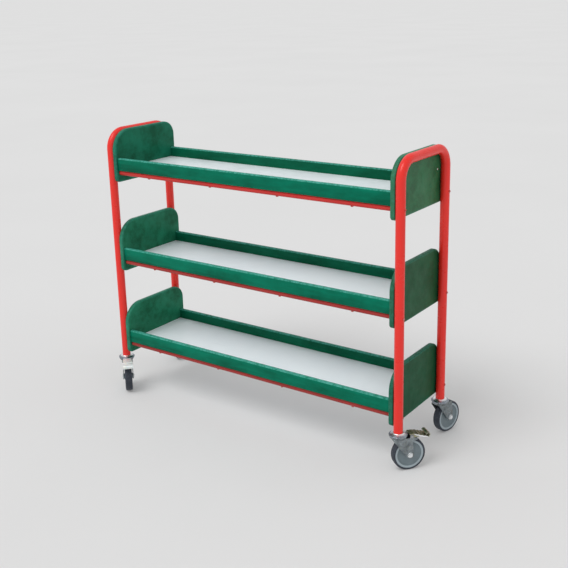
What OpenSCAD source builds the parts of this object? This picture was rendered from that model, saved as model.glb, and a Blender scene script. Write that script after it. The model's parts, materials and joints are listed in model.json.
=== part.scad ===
// Three-shelf trolley for classrooms: two bent-tube end frames carry three
// painted trays, and the whole cart rolls on four swivel casters.
// Origin: floor level, midway between the four uprights.
// +X runs along the shelves, -Y is the front, +Z is up. Millimetres.

/* [End frames] */
// Distance between the two end frames, tube centre to tube centre
frame_span_x = 1112; // [800:4:1400]
// Distance between the two uprights of one end frame, centre to centre
frame_span_y = 276; // [240:2:420]
// Outside diameter of the frame tube
tube_d = 28; // [25:1:32]
// Wall thickness of the frame tube
tube_wall = 1.5; // [1.2:0.1:2]
// Height of the top of the end frames above the floor
frame_top_z = 942; // [935:1:1100]
// Centreline radius of the bend at each top corner
bend_r = 57; // [50:1:80]

/* [Shelves] */
// Height of the lower edge of the bottom tray's end boards
bottom_z = 137; // [134:1:150]
// Height of the lower edge of the middle tray's end boards
middle_z = 443; // [400:1:470]
// Height of the lower edge of the top tray's end boards
top_z = 760; // [720:1:763]
// Height of an end board
board_h = 177; // [150:1:178]
// Thickness of the end boards and of the lips
board_t = 15; // [15:1:18]
// How far the end boards reach past the upright centres, front and rear
board_overhang = 9; // [6:1:12]
// Radius of an end board's upper front corner
board_top_front_r = 70; // [40:1:75]
// Radius of an end board's upper rear corner
board_top_rear_r = 48; // [40:1:75]
// Radius of an end board's lower corners
board_bottom_r = 14; // [8:1:32]
// Height of the top of a rail above the end board's lower edge
deck_z = 40; // [34:1:46]
// Thickness of a shelf deck
deck_t = 9; // [8:1:12]
// Thickness of the tongue along a deck's edges, which the lips cover
tongue_t = 5; // [4:0.5:6]
// Height of a lip's top above its deck
lip_above_deck = 34; // [20:1:45]
// Distance from the end board's edge to a lip's outer face
lip_setback = 7; // [5:1:10]

/* [Rails] */
// Outside diameter of the rails under the lips
rail_d = 16; // [14:1:18]
// Distance from a lip's outer face in to the outside of its rail
rail_setback = 2.5; // [1:0.5:3]
// Wall thickness of the rails
rail_wall = 1.5; // [1:0.1:2]
// Screws in each rail
screws_per_rail = 4; // [2:1:6]

/* [Casters] */
// Wheel diameter over the tyre
wheel_d = 102; // [98:1:104]
// Width of the tyre
tyre_w = 25; // [22:1:26]
// Distance from the swivel axis back to the axle
trail = 32; // [30:1:34]
// Height of the caster from the floor to the tube it carries
caster_h = 123; // [123:1:126]
// Diameter of the swivel head
head_d = 56; // [54:1:58]
// Heading of the front left wheel, from +X towards +Y
heading_front_left = -43; // [-180:1:180]
// Heading of the front right wheel
heading_front_right = 51; // [-180:1:180]
// Heading of the rear left wheel
heading_rear_left = 134; // [-180:1:180]
// Heading of the rear right wheel
heading_rear_right = 75; // [-180:1:180]

/* [Hidden] */
$fn = 64;

// Colours
paint_red = [0.87, 0.16, 0.14];
paint_green = [0.06, 0.38, 0.27];
laminate = [0.80, 0.83, 0.84];
zinc = [0.72, 0.73, 0.72];
steel = [0.60, 0.61, 0.62];
wheel_grey = [0.45, 0.50, 0.52];
tyre_grey = [0.16, 0.17, 0.22];
black_plastic = [0.10, 0.10, 0.10];
beech = [0.80, 0.66, 0.45];
brass = [0.78, 0.62, 0.30];

left = -1;
right = 1;
front = -1;
rear = 1;
sides = [left, right];
fronts = [front, rear];
levels = [bottom_z, middle_z, top_z];
eps = 0.5;

// Frame tube
tube_r = tube_d / 2;
tube_bore_r = tube_r - tube_wall;
frame_x = frame_span_x / 2;
frame_y = frame_span_y / 2;
bend_z = frame_top_z - tube_r - bend_r;

// Tray
board_outer_x = frame_x - tube_r;
board_inner_x = board_outer_x - board_t;
board_w = frame_span_y + 2 * board_overhang;
lip_outer_y = board_w / 2 - lip_setback;
lip_inner_y = lip_outer_y - board_t;
lip_round_r = 4;
rebate_y = lip_outer_y - 4;
deck_top_z = deck_z + deck_t;
lip_top_z = deck_top_z + lip_above_deck;

// Rail under each lip
rail_r = rail_d / 2;
rail_y = lip_outer_y - rail_setback - rail_r;
rail_z = deck_z - rail_r;
cap_head_t = 2;
cap_plug_l = 12;
rail_half_l = board_inner_x - cap_head_t;
screw_pitch = 2 * board_inner_x / screws_per_rail;

// Fasteners
bolt_r = 2.5;
bolt_hole_r = 2.75;
bolt_head_r = 4.25;
bolt_head_h = 2.6;
insert_r = 4;
insert_l = 11;
bolt_z = 34;
screw_r = 2;
screw_hole_r = 2.2;
screw_head_r = 4;
screw_head_h = 2.2;
screw_l = 46;
board_screw_y = 113;
board_screw_z = 103;
board_screw_r = 1.75;
board_screw_head_r = 3.5;
board_screw_head_h = 2;
board_screw_l = 12;
dowel_r = 3;
dowel_l = 24;
dowel_drop = 14;

// Caster head: the raceway hangs on the kingpin, the fork turns below it
kingpin_r = 5;
running_gap = 0.05;
free_gap = 0.4;
plate_t = 2.5;
head_r = head_d / 2;
rim_h = 3.5;
dome_h = 6;
rim_bottom_z = caster_h - dome_h - rim_h;
ball_r = 2.4;
ball_ring_r = 20;
ball_count = 18;
ball_z = rim_bottom_z + ball_r + free_gap;
crown_r = head_r - 1.5;
crown_top_z = rim_bottom_z;
crown_h = 9.5;
crown_bottom_z = crown_top_z - crown_h;
socket_l = 38;
kingpin_head_r = 7;
kingpin_head_h = 5;
kingpin_grip_l = 30;
kingpin_head_z = crown_top_z - plate_t - free_gap - kingpin_head_h;

// Fork and wheel
wheel_r = wheel_d / 2;
tyre_bead_r = wheel_r - 6.5;
shoulder_r = 5;
hub_half_w = 15.1;
hub_r = 10;
bush_r = 6;
axle_r = 4;
leg_inner_y = 15.5;
leg_t = 2.5;
leg_outer_y = leg_inner_y + leg_t;
boss_r = 12;
heel_x = -19;
bridge_end_x = trail - 3;
bridge_t = 3;
nut_corner_r = 7.5;
nut_h = 5;

// Brake pedal
pin_x = trail + 5;
pin_z = wheel_r * 2 + 8;
pin_r = 2.5;
ear_r = 6;
ear_drop = 14;
wing_l = 20;
pedal_flange_y = leg_inner_y - 0.4;
pedal_half_w = 18;
pedal_plate_x = pin_x + 20;
pedal_tip_x = 90;
pedal_t = 2.5;
pedal_flange_t = 2;
pad_half_w = 9;
pad_t = 5;
pad_z = pin_z - 7.3;

function level_z(name) = name == "top" ? top_z : name == "middle" ? middle_z : bottom_z;
function caster_heading(side_x, side_y) =
    side_y == front ? (side_x == left ? heading_front_left : heading_front_right)
                    : (side_x == left ? heading_rear_left : heading_rear_right);
function screw_places() = [for (i = [0 : screws_per_rail - 1]) (i + 0.5) * screw_pitch - board_inner_x];
// Point where a line from p touches the circle of radius r about c; turn is +1 or -1
function touch_point(p, c, r, turn) =
    let (d = p - c, dist = norm(d), base = atan2(d[1], d[0]), open = acos(r / dist))
    c + r * [cos(base + turn * open), sin(base + turn * open)];

// 2D x and y become Y and Z, and the height runs along X
module along_x(length) {
    rotate([90, 0, 90]) linear_extrude(length, center = true) children();
}

// A cylinder along X from x0 to x1
module rod_x(x0, x1, y, z, r) {
    translate([min(x0, x1), y, z]) rotate([0, 90, 0]) cylinder(r = r, h = abs(x1 - x0));
}

// A cylinder along Y from y0 to y1
module rod_y(y0, y1, x, z, r) {
    translate([x, max(y0, y1), z]) rotate([90, 0, 0]) cylinder(r = r, h = abs(y1 - y0));
}

// A dome-headed screw along X, with the underside of its head at the origin
module domed_screw(shank_l, shank_r, head_r, head_h) {
    rotate([0, 90, 0]) rotate_extrude() polygon([
        [0, -shank_l],
        [shank_r, -shank_l],
        [shank_r, 0],
        [head_r, 0],
        [head_r, 0.35 * head_h],
        [0.8 * head_r, 0.75 * head_h],
        [0.4 * head_r, 0.95 * head_h],
        [0, head_h],
    ]);
}

module tube_section(r, wall) {
    difference() {
        circle(r = r);
        circle(r = r - wall);
    }
}

// Moves a caster's pieces from its own frame (swivel axis at the origin,
// wheel trailing along +X) to its corner of the cart
module at_caster(side_x, side_y) {
    translate([side_x * frame_x, side_y * frame_y, 0])
        rotate([0, 0, caster_heading(side_x, side_y)]) children();
}

module at_each_caster() {
    for (side_x = sides, side_y = fronts) at_caster(side_x, side_y) children();
}

// Calls its children once at every frame bolt, with +X pointing outwards
module at_each_bolt(side_x, z_list = levels) {
    for (z = z_list, side_y = fronts)
        translate([side_x * frame_x, side_y * frame_y, z + bolt_z])
            rotate([0, 0, side_x == right ? 0 : 180]) children();
}

// ---------- End frames ----------

module bent_tube() {
    leg_l = bend_z - caster_h;
    top_l = frame_span_y - 2 * bend_r;
    for (side_y = fronts) translate([0, side_y * frame_y, caster_h])
        linear_extrude(leg_l) tube_section(tube_r, tube_wall);
    translate([0, 0, bend_z]) rotate([90, 0, 90]) {
        translate([frame_y - bend_r, 0, 0]) rotate_extrude(angle = 90)
            translate([bend_r, 0]) tube_section(tube_r, tube_wall);
        translate([bend_r - frame_y, 0, 0]) rotate([0, 0, 90]) rotate_extrude(angle = 90)
            translate([bend_r, 0]) tube_section(tube_r, tube_wall);
    }
    translate([0, top_l / 2, bend_z + bend_r]) rotate([90, 0, 0])
        linear_extrude(top_l) tube_section(tube_r, tube_wall);
}

module end_frame(side_x) {
    color(paint_red) difference() {
        translate([side_x * frame_x, 0, 0]) bent_tube();
        at_each_bolt(side_x) rod_x(-tube_d, tube_d, 0, 0, bolt_hole_r);
    }
}

module frame_bolts() {
    color(zinc) for (side_x = sides) at_each_bolt(side_x)
        translate([tube_r, 0, 0]) domed_screw(tube_d + insert_l, bolt_r, bolt_head_r, bolt_head_h);
}

module board_inserts() {
    color(brass) for (side_x = sides) at_each_bolt(side_x) difference() {
        rod_x(-tube_r - insert_l, -tube_r, 0, 0, insert_r);
        rod_x(-tube_r - insert_l - eps, -tube_r + eps, 0, 0, bolt_r);
    }
}

// Calls its children at every screw in the top boards' outer faces, with +X pointing outwards
module at_each_board_screw(side_x) {
    for (side_y = fronts)
        translate([side_x * board_outer_x, side_y * board_screw_y, top_z + board_screw_z])
            rotate([0, 0, side_x == right ? 0 : 180]) children();
}

module board_screws() {
    color(zinc) for (side_x = sides) at_each_board_screw(side_x)
        domed_screw(board_screw_l, board_screw_r, board_screw_head_r, board_screw_head_h);
}

// ---------- Trays ----------

module board_outline() {
    half_w = board_w / 2;
    for (side_y = fronts) mirror([side_y == front ? 1 : 0, 0]) {
        top_r = side_y == front ? board_top_front_r : board_top_rear_r;
        translate([-eps, board_bottom_r]) square([half_w - top_r + eps, board_h - board_bottom_r]);
        translate([-eps, board_bottom_r]) square([half_w + eps, board_h - board_bottom_r - top_r]);
        translate([-eps, 0]) square([half_w - board_bottom_r + eps, board_h - top_r]);
        translate([half_w - top_r, board_h - top_r]) circle(r = top_r);
        translate([half_w - board_bottom_r, board_bottom_r]) circle(r = board_bottom_r);
    }
}

module end_board(level, side_x) {
    z = level_z(level);
    mid_x = side_x * (board_inner_x + board_t / 2);
    color(paint_green) difference() {
        translate([mid_x, 0, z]) along_x(board_t) board_outline();
        at_each_bolt(side_x, [z]) rod_x(-tube_r - insert_l, -tube_r + eps, 0, 0, insert_r);
        at_each_dowel(z) rod_x(-dowel_l / 2, dowel_l / 2, 0, 0, dowel_r);
        if (level == "top") at_each_board_screw(side_x) rod_x(-board_screw_l, eps, 0, 0, board_screw_r);
    }
}

module at_each_dowel(z, side_ys = fronts) {
    for (side_x = sides, side_y = side_ys)
        translate([side_x * board_inner_x, side_y * (lip_outer_y - board_t / 2), z + lip_top_z - dowel_drop])
            children();
}

module tray_dowels() {
    color(beech) for (z = levels) at_each_dowel(z) rod_x(-dowel_l / 2, dowel_l / 2, 0, 0, dowel_r);
}

// Screws up through the rail and the deck edge into the lip
module at_each_rail_screw(z, side_ys = fronts) {
    for (side_y = side_ys, x = screw_places()) translate([x, side_y * rail_y, z + rail_z - rail_r])
        children();
}

module deck_slab(z, half_w, thickness) {
    translate([-board_inner_x, -half_w, z + deck_z]) cube([2 * board_inner_x, 2 * half_w, thickness]);
}

module deck(level) {
    z = level_z(level);
    color(laminate) difference() {
        union() {
            deck_slab(z, lip_inner_y, deck_t);
            deck_slab(z, rebate_y, tongue_t);
        }
        at_each_rail_screw(z) cylinder(r = screw_r, h = screw_l);
    }
}

// Lip section with its outer face at +Y: a rebate takes the tongue on the deck's edge
module lip_section() {
    polygon([
        [rebate_y, deck_z],
        [lip_outer_y, deck_z],
        [lip_outer_y, lip_top_z - lip_round_r],
        [lip_inner_y, lip_top_z - lip_round_r],
        [lip_inner_y, deck_z + tongue_t],
        [rebate_y, deck_z + tongue_t],
    ]);
    translate([lip_inner_y + lip_round_r, lip_top_z - 2 * lip_round_r])
        square([board_t - 2 * lip_round_r, 2 * lip_round_r]);
    for (y = [lip_inner_y + lip_round_r, lip_outer_y - lip_round_r])
        translate([y, lip_top_z - lip_round_r]) circle(r = lip_round_r);
}

module lip(level, side_y) {
    z = level_z(level);
    color(paint_green) difference() {
        translate([0, 0, z]) along_x(2 * board_inner_x) mirror([side_y == rear ? 0 : 1, 0]) lip_section();
        at_each_rail_screw(z, [side_y]) cylinder(r = screw_r, h = screw_l);
        at_each_dowel(z, [side_y]) rod_x(-dowel_l / 2, dowel_l / 2, 0, 0, dowel_r);
    }
}

module rail(level, side_y) {
    z = level_z(level);
    color(paint_red) difference() {
        translate([0, side_y * rail_y, z + rail_z]) along_x(2 * rail_half_l) tube_section(rail_r, rail_wall);
        at_each_rail_screw(z, [side_y])
            translate([0, 0, -eps]) cylinder(r = screw_hole_r, h = rail_d + 2 * eps);
    }
}

module rail_end_caps() {
    color(black_plastic) for (z = levels, side_x = sides, side_y = fronts) {
        rod_x(side_x * rail_half_l, side_x * board_inner_x, side_y * rail_y, z + rail_z, rail_r);
        rod_x(side_x * (rail_half_l - cap_plug_l), side_x * rail_half_l,
            side_y * rail_y, z + rail_z, rail_r - rail_wall);
    }
}

module rail_screws() {
    color(zinc) for (z = levels) at_each_rail_screw(z) {
        cylinder(r = screw_r, h = screw_l);
        translate([0, 0, -screw_head_h]) cylinder(r = screw_head_r, h = screw_head_h);
    }
}

// ---------- Casters: pieces fixed to the frame ----------

module caster_sockets() {
    color(steel) at_each_caster() translate([0, 0, caster_h]) difference() {
        cylinder(r = tube_bore_r, h = socket_l);
        translate([0, 0, -eps]) cylinder(r = kingpin_r, h = kingpin_grip_l + 2 + eps);
    }
}

module kingpins() {
    kingpin_l = caster_h + kingpin_grip_l - kingpin_head_z;
    color(zinc) at_each_caster() translate([0, 0, kingpin_head_z]) {
        cylinder(r = kingpin_head_r, h = kingpin_head_h);
        cylinder(r = kingpin_r, h = kingpin_l);
    }
}

module swivel_raceways() {
    neck_r = tube_r + 2;
    color(zinc) at_each_caster() rotate_extrude() polygon([
        [kingpin_r, caster_h],
        [neck_r, caster_h],
        [head_r - 1, rim_bottom_z + rim_h + 1],
        [head_r, rim_bottom_z + rim_h - 0.5],
        [head_r, rim_bottom_z],
        [head_r - 1, rim_bottom_z],
        [head_r - 1.4, rim_bottom_z + rim_h],
        [ball_ring_r + ball_r, ball_z + ball_r],
        [ball_ring_r - ball_r, ball_z + ball_r],
        [neck_r - 1, caster_h - 1.8],
        [kingpin_r, caster_h - 1.8],
    ]);
}

module swivel_balls() {
    color(steel) at_each_caster() for (i = [0 : ball_count - 1])
        rotate([0, 0, i * 360 / ball_count]) translate([ball_ring_r, 0, ball_z]) sphere(r = ball_r);
}

// ---------- Casters: pieces that swivel ----------

module fork_crown() {
    skirt_r = kingpin_head_r + 7;
    lip_h = 0.1;
    plate_z = crown_top_z - plate_t;
    rotate_extrude() polygon([
        [kingpin_r + running_gap, crown_top_z],
        [kingpin_r + running_gap, plate_z],
        [skirt_r - 0.5, plate_z],
        [skirt_r, crown_bottom_z],
        [leg_outer_y + 3, crown_bottom_z],
        [crown_r, plate_z + 0.5],
        [crown_r, crown_top_z - lip_h],
        [ball_ring_r + 4, crown_top_z - lip_h],
        [ball_ring_r + 2, crown_top_z],
    ]);
}

// Side view of a fork leg, from the crown down to the axle
module leg_outline(braked) {
    axle = [trail, wheel_r];
    heel = [heel_x, crown_bottom_z - 1];
    toe = [trail + 4, crown_bottom_z + bridge_t];
    waist_r = boss_r - 0.6;
    difference() {
        union() {
            polygon([
                [heel[0], toe[1]],
                heel,
                touch_point(heel, axle, waist_r, 1),
                axle,
                touch_point(toe, axle, waist_r, -1),
                toe,
            ]);
            translate(axle) circle(r = boss_r);
            if (braked) {
                translate([pin_x, pin_z]) circle(r = ear_r);
                translate([pin_x - ear_r, pin_z - ear_drop]) square([2 * ear_r, ear_drop]);
                polygon([
                    [pin_x, pin_z - ear_drop],
                    [pin_x + wing_l - 4, pin_z - ear_drop + 2],
                    [pin_x + wing_l, pin_z - 7],
                    [pin_x, pin_z - 4],
                ]);
            }
        }
        translate(axle) circle(r = axle_r);
        if (braked) translate([pin_x, pin_z]) circle(r = pin_r);
    }
}

// Web between the two legs, open in the middle for the kingpin's head
module fork_bridge() {
    bridge_l = bridge_end_x - heel_x;
    difference() {
        translate([heel_x, -leg_outer_y, crown_bottom_z]) cube([bridge_l, 2 * leg_outer_y, bridge_t]);
        translate([0, 0, crown_bottom_z - eps]) cylinder(r = kingpin_head_r + 6, h = bridge_t + 2 * eps);
    }
}

module fork(side_x, side_y) {
    braked = side_y == front;
    color(zinc) at_caster(side_x, side_y) {
        fork_crown();
        fork_bridge();
        for (y = [-leg_inner_y, leg_outer_y])
            translate([0, y, 0]) rotate([90, 0, 0]) linear_extrude(leg_t) leg_outline(braked);
    }
}

module axle(side_x, side_y) {
    color(zinc) at_caster(side_x, side_y) {
        rod_y(-leg_outer_y - nut_h, leg_outer_y, trail, wheel_r, axle_r);
        translate([trail, leg_outer_y + nut_h - 1, wheel_r]) rotate([90, 0, 0])
            cylinder(r = nut_corner_r - 0.5, h = nut_h - 1);
        difference() {
            translate([trail, -leg_outer_y, wheel_r]) rotate([90, 0, 0])
                cylinder(r = nut_corner_r, h = nut_h - 1, $fn = 6);
            rod_y(-leg_outer_y - nut_h, -leg_outer_y, trail, wheel_r, axle_r + running_gap);
        }
    }
}

module bush(side_x, side_y) {
    color(steel) at_caster(side_x, side_y) difference() {
        rod_y(-leg_inner_y, leg_inner_y, trail, wheel_r, bush_r);
        rod_y(-leg_inner_y - eps, leg_inner_y + eps, trail, wheel_r, axle_r);
    }
}

module brake_pin(side_x) {
    color(steel) at_caster(side_x, front) {
        rod_y(-leg_outer_y, leg_outer_y, pin_x, pin_z, pin_r);
        for (y = fronts) rod_y(y * leg_outer_y, y * (leg_outer_y + 1.5), pin_x, pin_z, pin_r + 1.5);
    }
}

// Side view of the pedal: a plate that slopes down to a tip rolled upwards
module pedal_side() {
    root_z = pin_z + 7;
    tip_z = pin_z - 9;
    root_x = pin_x - 6;
    bend_x = pin_x + 8;
    curl_r = 5.5;
    curl_c = [pedal_tip_x, tip_z + curl_r];
    curl = [for (turn = [-75 : 15 : 150]) [cos(turn), sin(turn)]];
    polygon(concat(
        [[bend_x, root_z], [root_x, root_z], [root_x, root_z - pedal_t], [bend_x - 1, root_z - pedal_t]],
        [for (c = curl) curl_c + curl_r * c],
        [for (i = [len(curl) - 1 : -1 : 0]) curl_c + (curl_r - pedal_t) * curl[i]]
    ));
}

// Side view of a pedal flange
module flange_side() {
    difference() {
        polygon([
            [pin_x - 5, pin_z + 5],
            [pin_x - 5, pin_z - 3],
            [pin_x + 1, pin_z - 5],
            [pin_x + 26, pin_z - 4],
            [pin_x + 26, pin_z + 0.5],
            [pin_x + 8, pin_z + 5],
        ]);
        translate([pin_x, pin_z]) circle(r = pin_r + running_gap);
    }
}

module brake_pedal(side_x) {
    color(zinc) at_caster(side_x, front) {
        rotate([90, 0, 0]) linear_extrude(2 * pedal_flange_y, center = true) pedal_side();
        intersection() {
            rotate([90, 0, 0]) linear_extrude(2 * pedal_half_w, center = true) pedal_side();
            translate([pedal_plate_x, -pedal_half_w, 0]) cube([pedal_tip_x, 2 * pedal_half_w, 2 * pin_z]);
        }
        for (y = [pedal_flange_t - pedal_flange_y, pedal_flange_y])
            translate([0, y, 0]) rotate([90, 0, 0]) linear_extrude(pedal_flange_t) flange_side();
        translate([pin_x + 8, -pad_half_w, pad_z]) cube([pad_t, 2 * pad_half_w, pin_z + 5 - pad_z]);
    }
}

// ---------- Casters: wheels ----------

module at_axle(side_x, side_y) {
    at_caster(side_x, side_y) translate([trail, 0, wheel_r]) rotate([90, 0, 0]) children();
}

module wheel_centre(side_x, side_y) {
    rim_half_w = 11;
    web_half_w = 8.5;
    rim_inner_r = tyre_bead_r - 4;
    bore_r = bush_r + running_gap;
    half_section = [
        [bore_r, hub_half_w],
        [hub_r, hub_half_w],
        [hub_r + 2, web_half_w],
        [rim_inner_r - 2, web_half_w],
        [rim_inner_r, rim_half_w],
        [tyre_bead_r, rim_half_w],
    ];
    other_half = [for (i = [len(half_section) - 1 : -1 : 0]) [half_section[i][0], -half_section[i][1]]];
    color(wheel_grey) at_axle(side_x, side_y) rotate_extrude() polygon(concat(half_section, other_half));
}

// Tyre section: straight side walls under a rounded tread
module tyre_section() {
    half_w = tyre_w / 2;
    wall_end_r = wheel_r - shoulder_r;
    translate([tyre_bead_r, -half_w]) square([wall_end_r - tyre_bead_r, tyre_w]);
    translate([tyre_bead_r, shoulder_r - half_w]) square([wheel_r - tyre_bead_r, tyre_w - 2 * shoulder_r]);
    intersection() {
        for (y = [shoulder_r - half_w, half_w - shoulder_r])
            translate([wall_end_r, y]) circle(r = shoulder_r);
        translate([tyre_bead_r, -half_w]) square([wheel_r - tyre_bead_r, tyre_w]);
    }
}

module tyre(side_x, side_y) {
    color(tyre_grey) at_axle(side_x, side_y) rotate_extrude(convexity = 4) tyre_section();
}

end_frame(left);  // end_frame_left
end_frame(right);  // end_frame_right
end_board("top", left);  // end_board_top_left
end_board("top", right);  // end_board_top_right
end_board("middle", left);  // end_board_middle_left
end_board("middle", right);  // end_board_middle_right
end_board("bottom", left);  // end_board_bottom_left
end_board("bottom", right);  // end_board_bottom_right
deck("top");  // deck_top
deck("middle");  // deck_middle
deck("bottom");  // deck_bottom
lip("top", front);  // lip_top_front
lip("top", rear);  // lip_top_rear
lip("middle", front);  // lip_middle_front
lip("middle", rear);  // lip_middle_rear
lip("bottom", front);  // lip_bottom_front
lip("bottom", rear);  // lip_bottom_rear
rail("top", front);  // rail_top_front
rail("top", rear);  // rail_top_rear
rail("middle", front);  // rail_middle_front
rail("middle", rear);  // rail_middle_rear
rail("bottom", front);  // rail_bottom_front
rail("bottom", rear);  // rail_bottom_rear
rail_end_caps();
rail_screws();
tray_dowels();
frame_bolts();
board_inserts();
board_screws();
caster_sockets();
kingpins();
swivel_raceways();
swivel_balls();
fork(left, front);  // fork_front_left
fork(right, front);  // fork_front_right
fork(left, rear);  // fork_rear_left
fork(right, rear);  // fork_rear_right
axle(left, front);  // axle_front_left
axle(right, front);  // axle_front_right
axle(left, rear);  // axle_rear_left
axle(right, rear);  // axle_rear_right
bush(left, front);  // bush_front_left
bush(right, front);  // bush_front_right
bush(left, rear);  // bush_rear_left
bush(right, rear);  // bush_rear_right
wheel_centre(left, front);  // wheel_centre_front_left
wheel_centre(right, front);  // wheel_centre_front_right
wheel_centre(left, rear);  // wheel_centre_rear_left
wheel_centre(right, rear);  // wheel_centre_rear_right
tyre(left, front);  // tyre_front_left
tyre(right, front);  // tyre_front_right
tyre(left, rear);  // tyre_rear_left
tyre(right, rear);  // tyre_rear_right
brake_pedal(left);  // brake_pedal_front_left
brake_pedal(right);  // brake_pedal_front_right
brake_pin(left);  // brake_pin_front_left
brake_pin(right);  // brake_pin_front_right
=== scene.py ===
"""Looks of the three-tray cart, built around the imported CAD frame. Metres, +Z up, -Y is the front."""

import json
import math

import bmesh
import bpy
from mathutils import Matrix, Vector


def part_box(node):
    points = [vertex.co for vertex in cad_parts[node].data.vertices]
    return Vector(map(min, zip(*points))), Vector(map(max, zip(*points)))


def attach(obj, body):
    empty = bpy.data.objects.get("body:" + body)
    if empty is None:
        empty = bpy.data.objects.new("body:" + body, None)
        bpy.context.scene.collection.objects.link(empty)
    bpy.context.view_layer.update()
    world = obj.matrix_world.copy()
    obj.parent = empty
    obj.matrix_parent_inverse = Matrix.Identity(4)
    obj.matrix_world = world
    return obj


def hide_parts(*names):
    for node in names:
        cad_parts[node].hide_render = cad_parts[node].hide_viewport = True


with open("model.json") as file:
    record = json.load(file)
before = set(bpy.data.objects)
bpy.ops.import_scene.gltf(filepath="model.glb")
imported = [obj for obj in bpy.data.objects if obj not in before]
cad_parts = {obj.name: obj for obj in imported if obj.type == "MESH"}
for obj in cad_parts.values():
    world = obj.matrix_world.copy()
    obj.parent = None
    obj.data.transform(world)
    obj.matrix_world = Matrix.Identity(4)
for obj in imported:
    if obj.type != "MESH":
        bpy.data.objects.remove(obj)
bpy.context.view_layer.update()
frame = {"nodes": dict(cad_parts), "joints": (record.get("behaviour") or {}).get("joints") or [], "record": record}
MM = 0.001

# The photograph's camera, in the cart's own frame
CAMERA_PLACE = Vector((1.7105, -2.2836, 1.3821))
CAMERA_AZIMUTH = math.radians(35.57)
CAMERA_ELEVATION = math.radians(15.62)
CAMERA_ROLL = math.radians(-1.33)
CAMERA_LENS = 57.53
CAMERA_SHIFT = (-0.0080, -0.0720)

LEVELS = ("top", "middle", "bottom")
SIDES = ("left", "right")
FRONTS = ("front", "rear")
CORNERS = [f"{depth}_{side}" for depth in FRONTS for side in SIDES]
BRAKED = [corner for corner in CORNERS if corner.startswith("front")]

# Trays, in metres
BOARD_FRONT_R = 70 * MM
BOARD_REAR_R = 48 * MM
BOARD_BOTTOM_R = 14 * MM
BOARD_EDGE_R = 3.2 * MM
LIP_TOP_R = 4 * MM
LIP_BOTTOM_R = 1.5 * MM
LIP_STATIONS = 25
LIP_FACE_MARGIN = 1.5 * MM
LIP_TOP_HIGHLIGHT_MARGIN = 0.5 * MM
REBATE_W = 11 * MM
TONGUE_T = 5 * MM

# Fixings, in millimetres
TUBE_D = 28
BOLT_R = 2.5
BOLT_L = TUBE_D + 11
BOLT_HEAD = (4.25, 2.6)
BOLT_Z = 34
BOARD_SCREW_R = 1.75
BOARD_SCREW_L = 12
BOARD_SCREW_HEAD = (3.5, 2.0)

# Casters, in millimetres, in their own frame: swivel axis at the origin, wheel along +X
WHEEL_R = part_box("tyre_front_left")[1].z / MM / 2
BEAD_R = WHEEL_R - 6.5
TYRE_HALF_W = 12.5
TYRE_SHOULDER_R = 5
HUB_HALF_W = 15.1
BUSH_R = 6.1
LEG_INNER_Y = 15.5
LEG_T = 2.5
LEG_OUTER_Y = LEG_INNER_Y + LEG_T
BOSS_R = 12
EAR_R = 6
AXLE_R = 4
HEEL_X = -20
HEAD_TOP_Z = 123
HEAD_R = 28
# The swivel heads' painted highlight: full inside the first radius, fading out by the second.
HEAD_HIGHLIGHT_FULL_R = 19
HEAD_HIGHLIGHT_END_R = 24
RIM_R = 2
RIM_BOTTOM_Z = 113.5
CROWN_R = 26.5
CROWN_TOP_Z = 113.4
CROWN_BOTTOM_Z = 104
WEB_T = 3
KINGPIN_R = 5.05

# Brake pedals, in millimetres
PEDAL_T = 2.5
PEDAL_ROOT_RISE = 7
PEDAL_TIP_DROP = 9
PEDAL_ROOT_HALF_W = 15.1
PEDAL_TIP_HALF_W = 18
PEDAL_END_X = 95.5
PEDAL_ROLL_R = 7.2
PEDAL_EDGE_H = 4.2
PEDAL_STATIONS = 35
PEDAL_RIDGES = 4
PEDAL_RIDGE_H = 1.0
FLANGE_T = 2
PAD_HALF_W = 9

# Studio
FLOOR_REACH = 400
SURROUND_STRENGTH = 0.66
KEY_STRENGTH = 1.14
KEY_SPREAD = math.radians(32)
KEY_DIRECTION = Vector((0.18, 0.60, -0.95))
FLOOR_GREYS = ((0.635, 0.635, 0.635), (0.655, 0.655, 0.655))
FLOOR_GLOW = 0.12

# Pale green of marked edges: rubbed wear and painted highlight on the boards, painted highlight on the lip tops.
RUBBED_AND_LIT_GREEN = (0.09, 0.42, 0.34)
# Bright zinc for rubbed edges and painted highlights.
RUBBED_AND_LIT_ZINC = (0.93, 0.95, 0.97)
CHIPPED_PRIMER = (0.42, 0.36, 0.33)


# ---------- Meshes ----------

def add_piece(name, bm, material, body, nodes, smooth_angle=35):
    """Makes a piece of a bmesh in the row frame, on its body and in place of its CAD nodes."""
    bmesh.ops.remove_doubles(bm, verts=bm.verts, dist=1e-6)
    bmesh.ops.recalc_face_normals(bm, faces=bm.faces)
    mesh = bpy.data.meshes.new(name)
    bm.to_mesh(mesh)
    bm.free()
    piece = bpy.data.objects.new(name, mesh)
    bpy.context.scene.collection.objects.link(piece)
    mesh.materials.append(material)
    mesh.shade_smooth()
    mesh.set_sharp_from_angle(angle=math.radians(smooth_angle))
    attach(piece, body)
    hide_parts(*nodes)
    return piece


def wear_and_highlight_layer(bm):
    """A number per vertex, from 0 on sheltered faces to 1 on edges that get rubbed and on places painted with a
    highlight.
    """
    return bm.verts.layers.float.new("wear_and_highlight")


def arc(centre, radius, start, end, steps):
    """Points on an arc, with the angles in degrees."""
    turns = [math.radians(start + (end - start) * i / steps) for i in range(steps + 1)]
    return [(centre[0] + radius * math.cos(t), centre[1] + radius * math.sin(t)) for t in turns]


def prism(bm, outline, place, depth):
    """Extrudes a closed 2D outline by depth. place(u, v, w) gives the point."""
    loft(bm, [[place(u, v, w) for u, v in outline] for w in (0, depth)])


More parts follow.
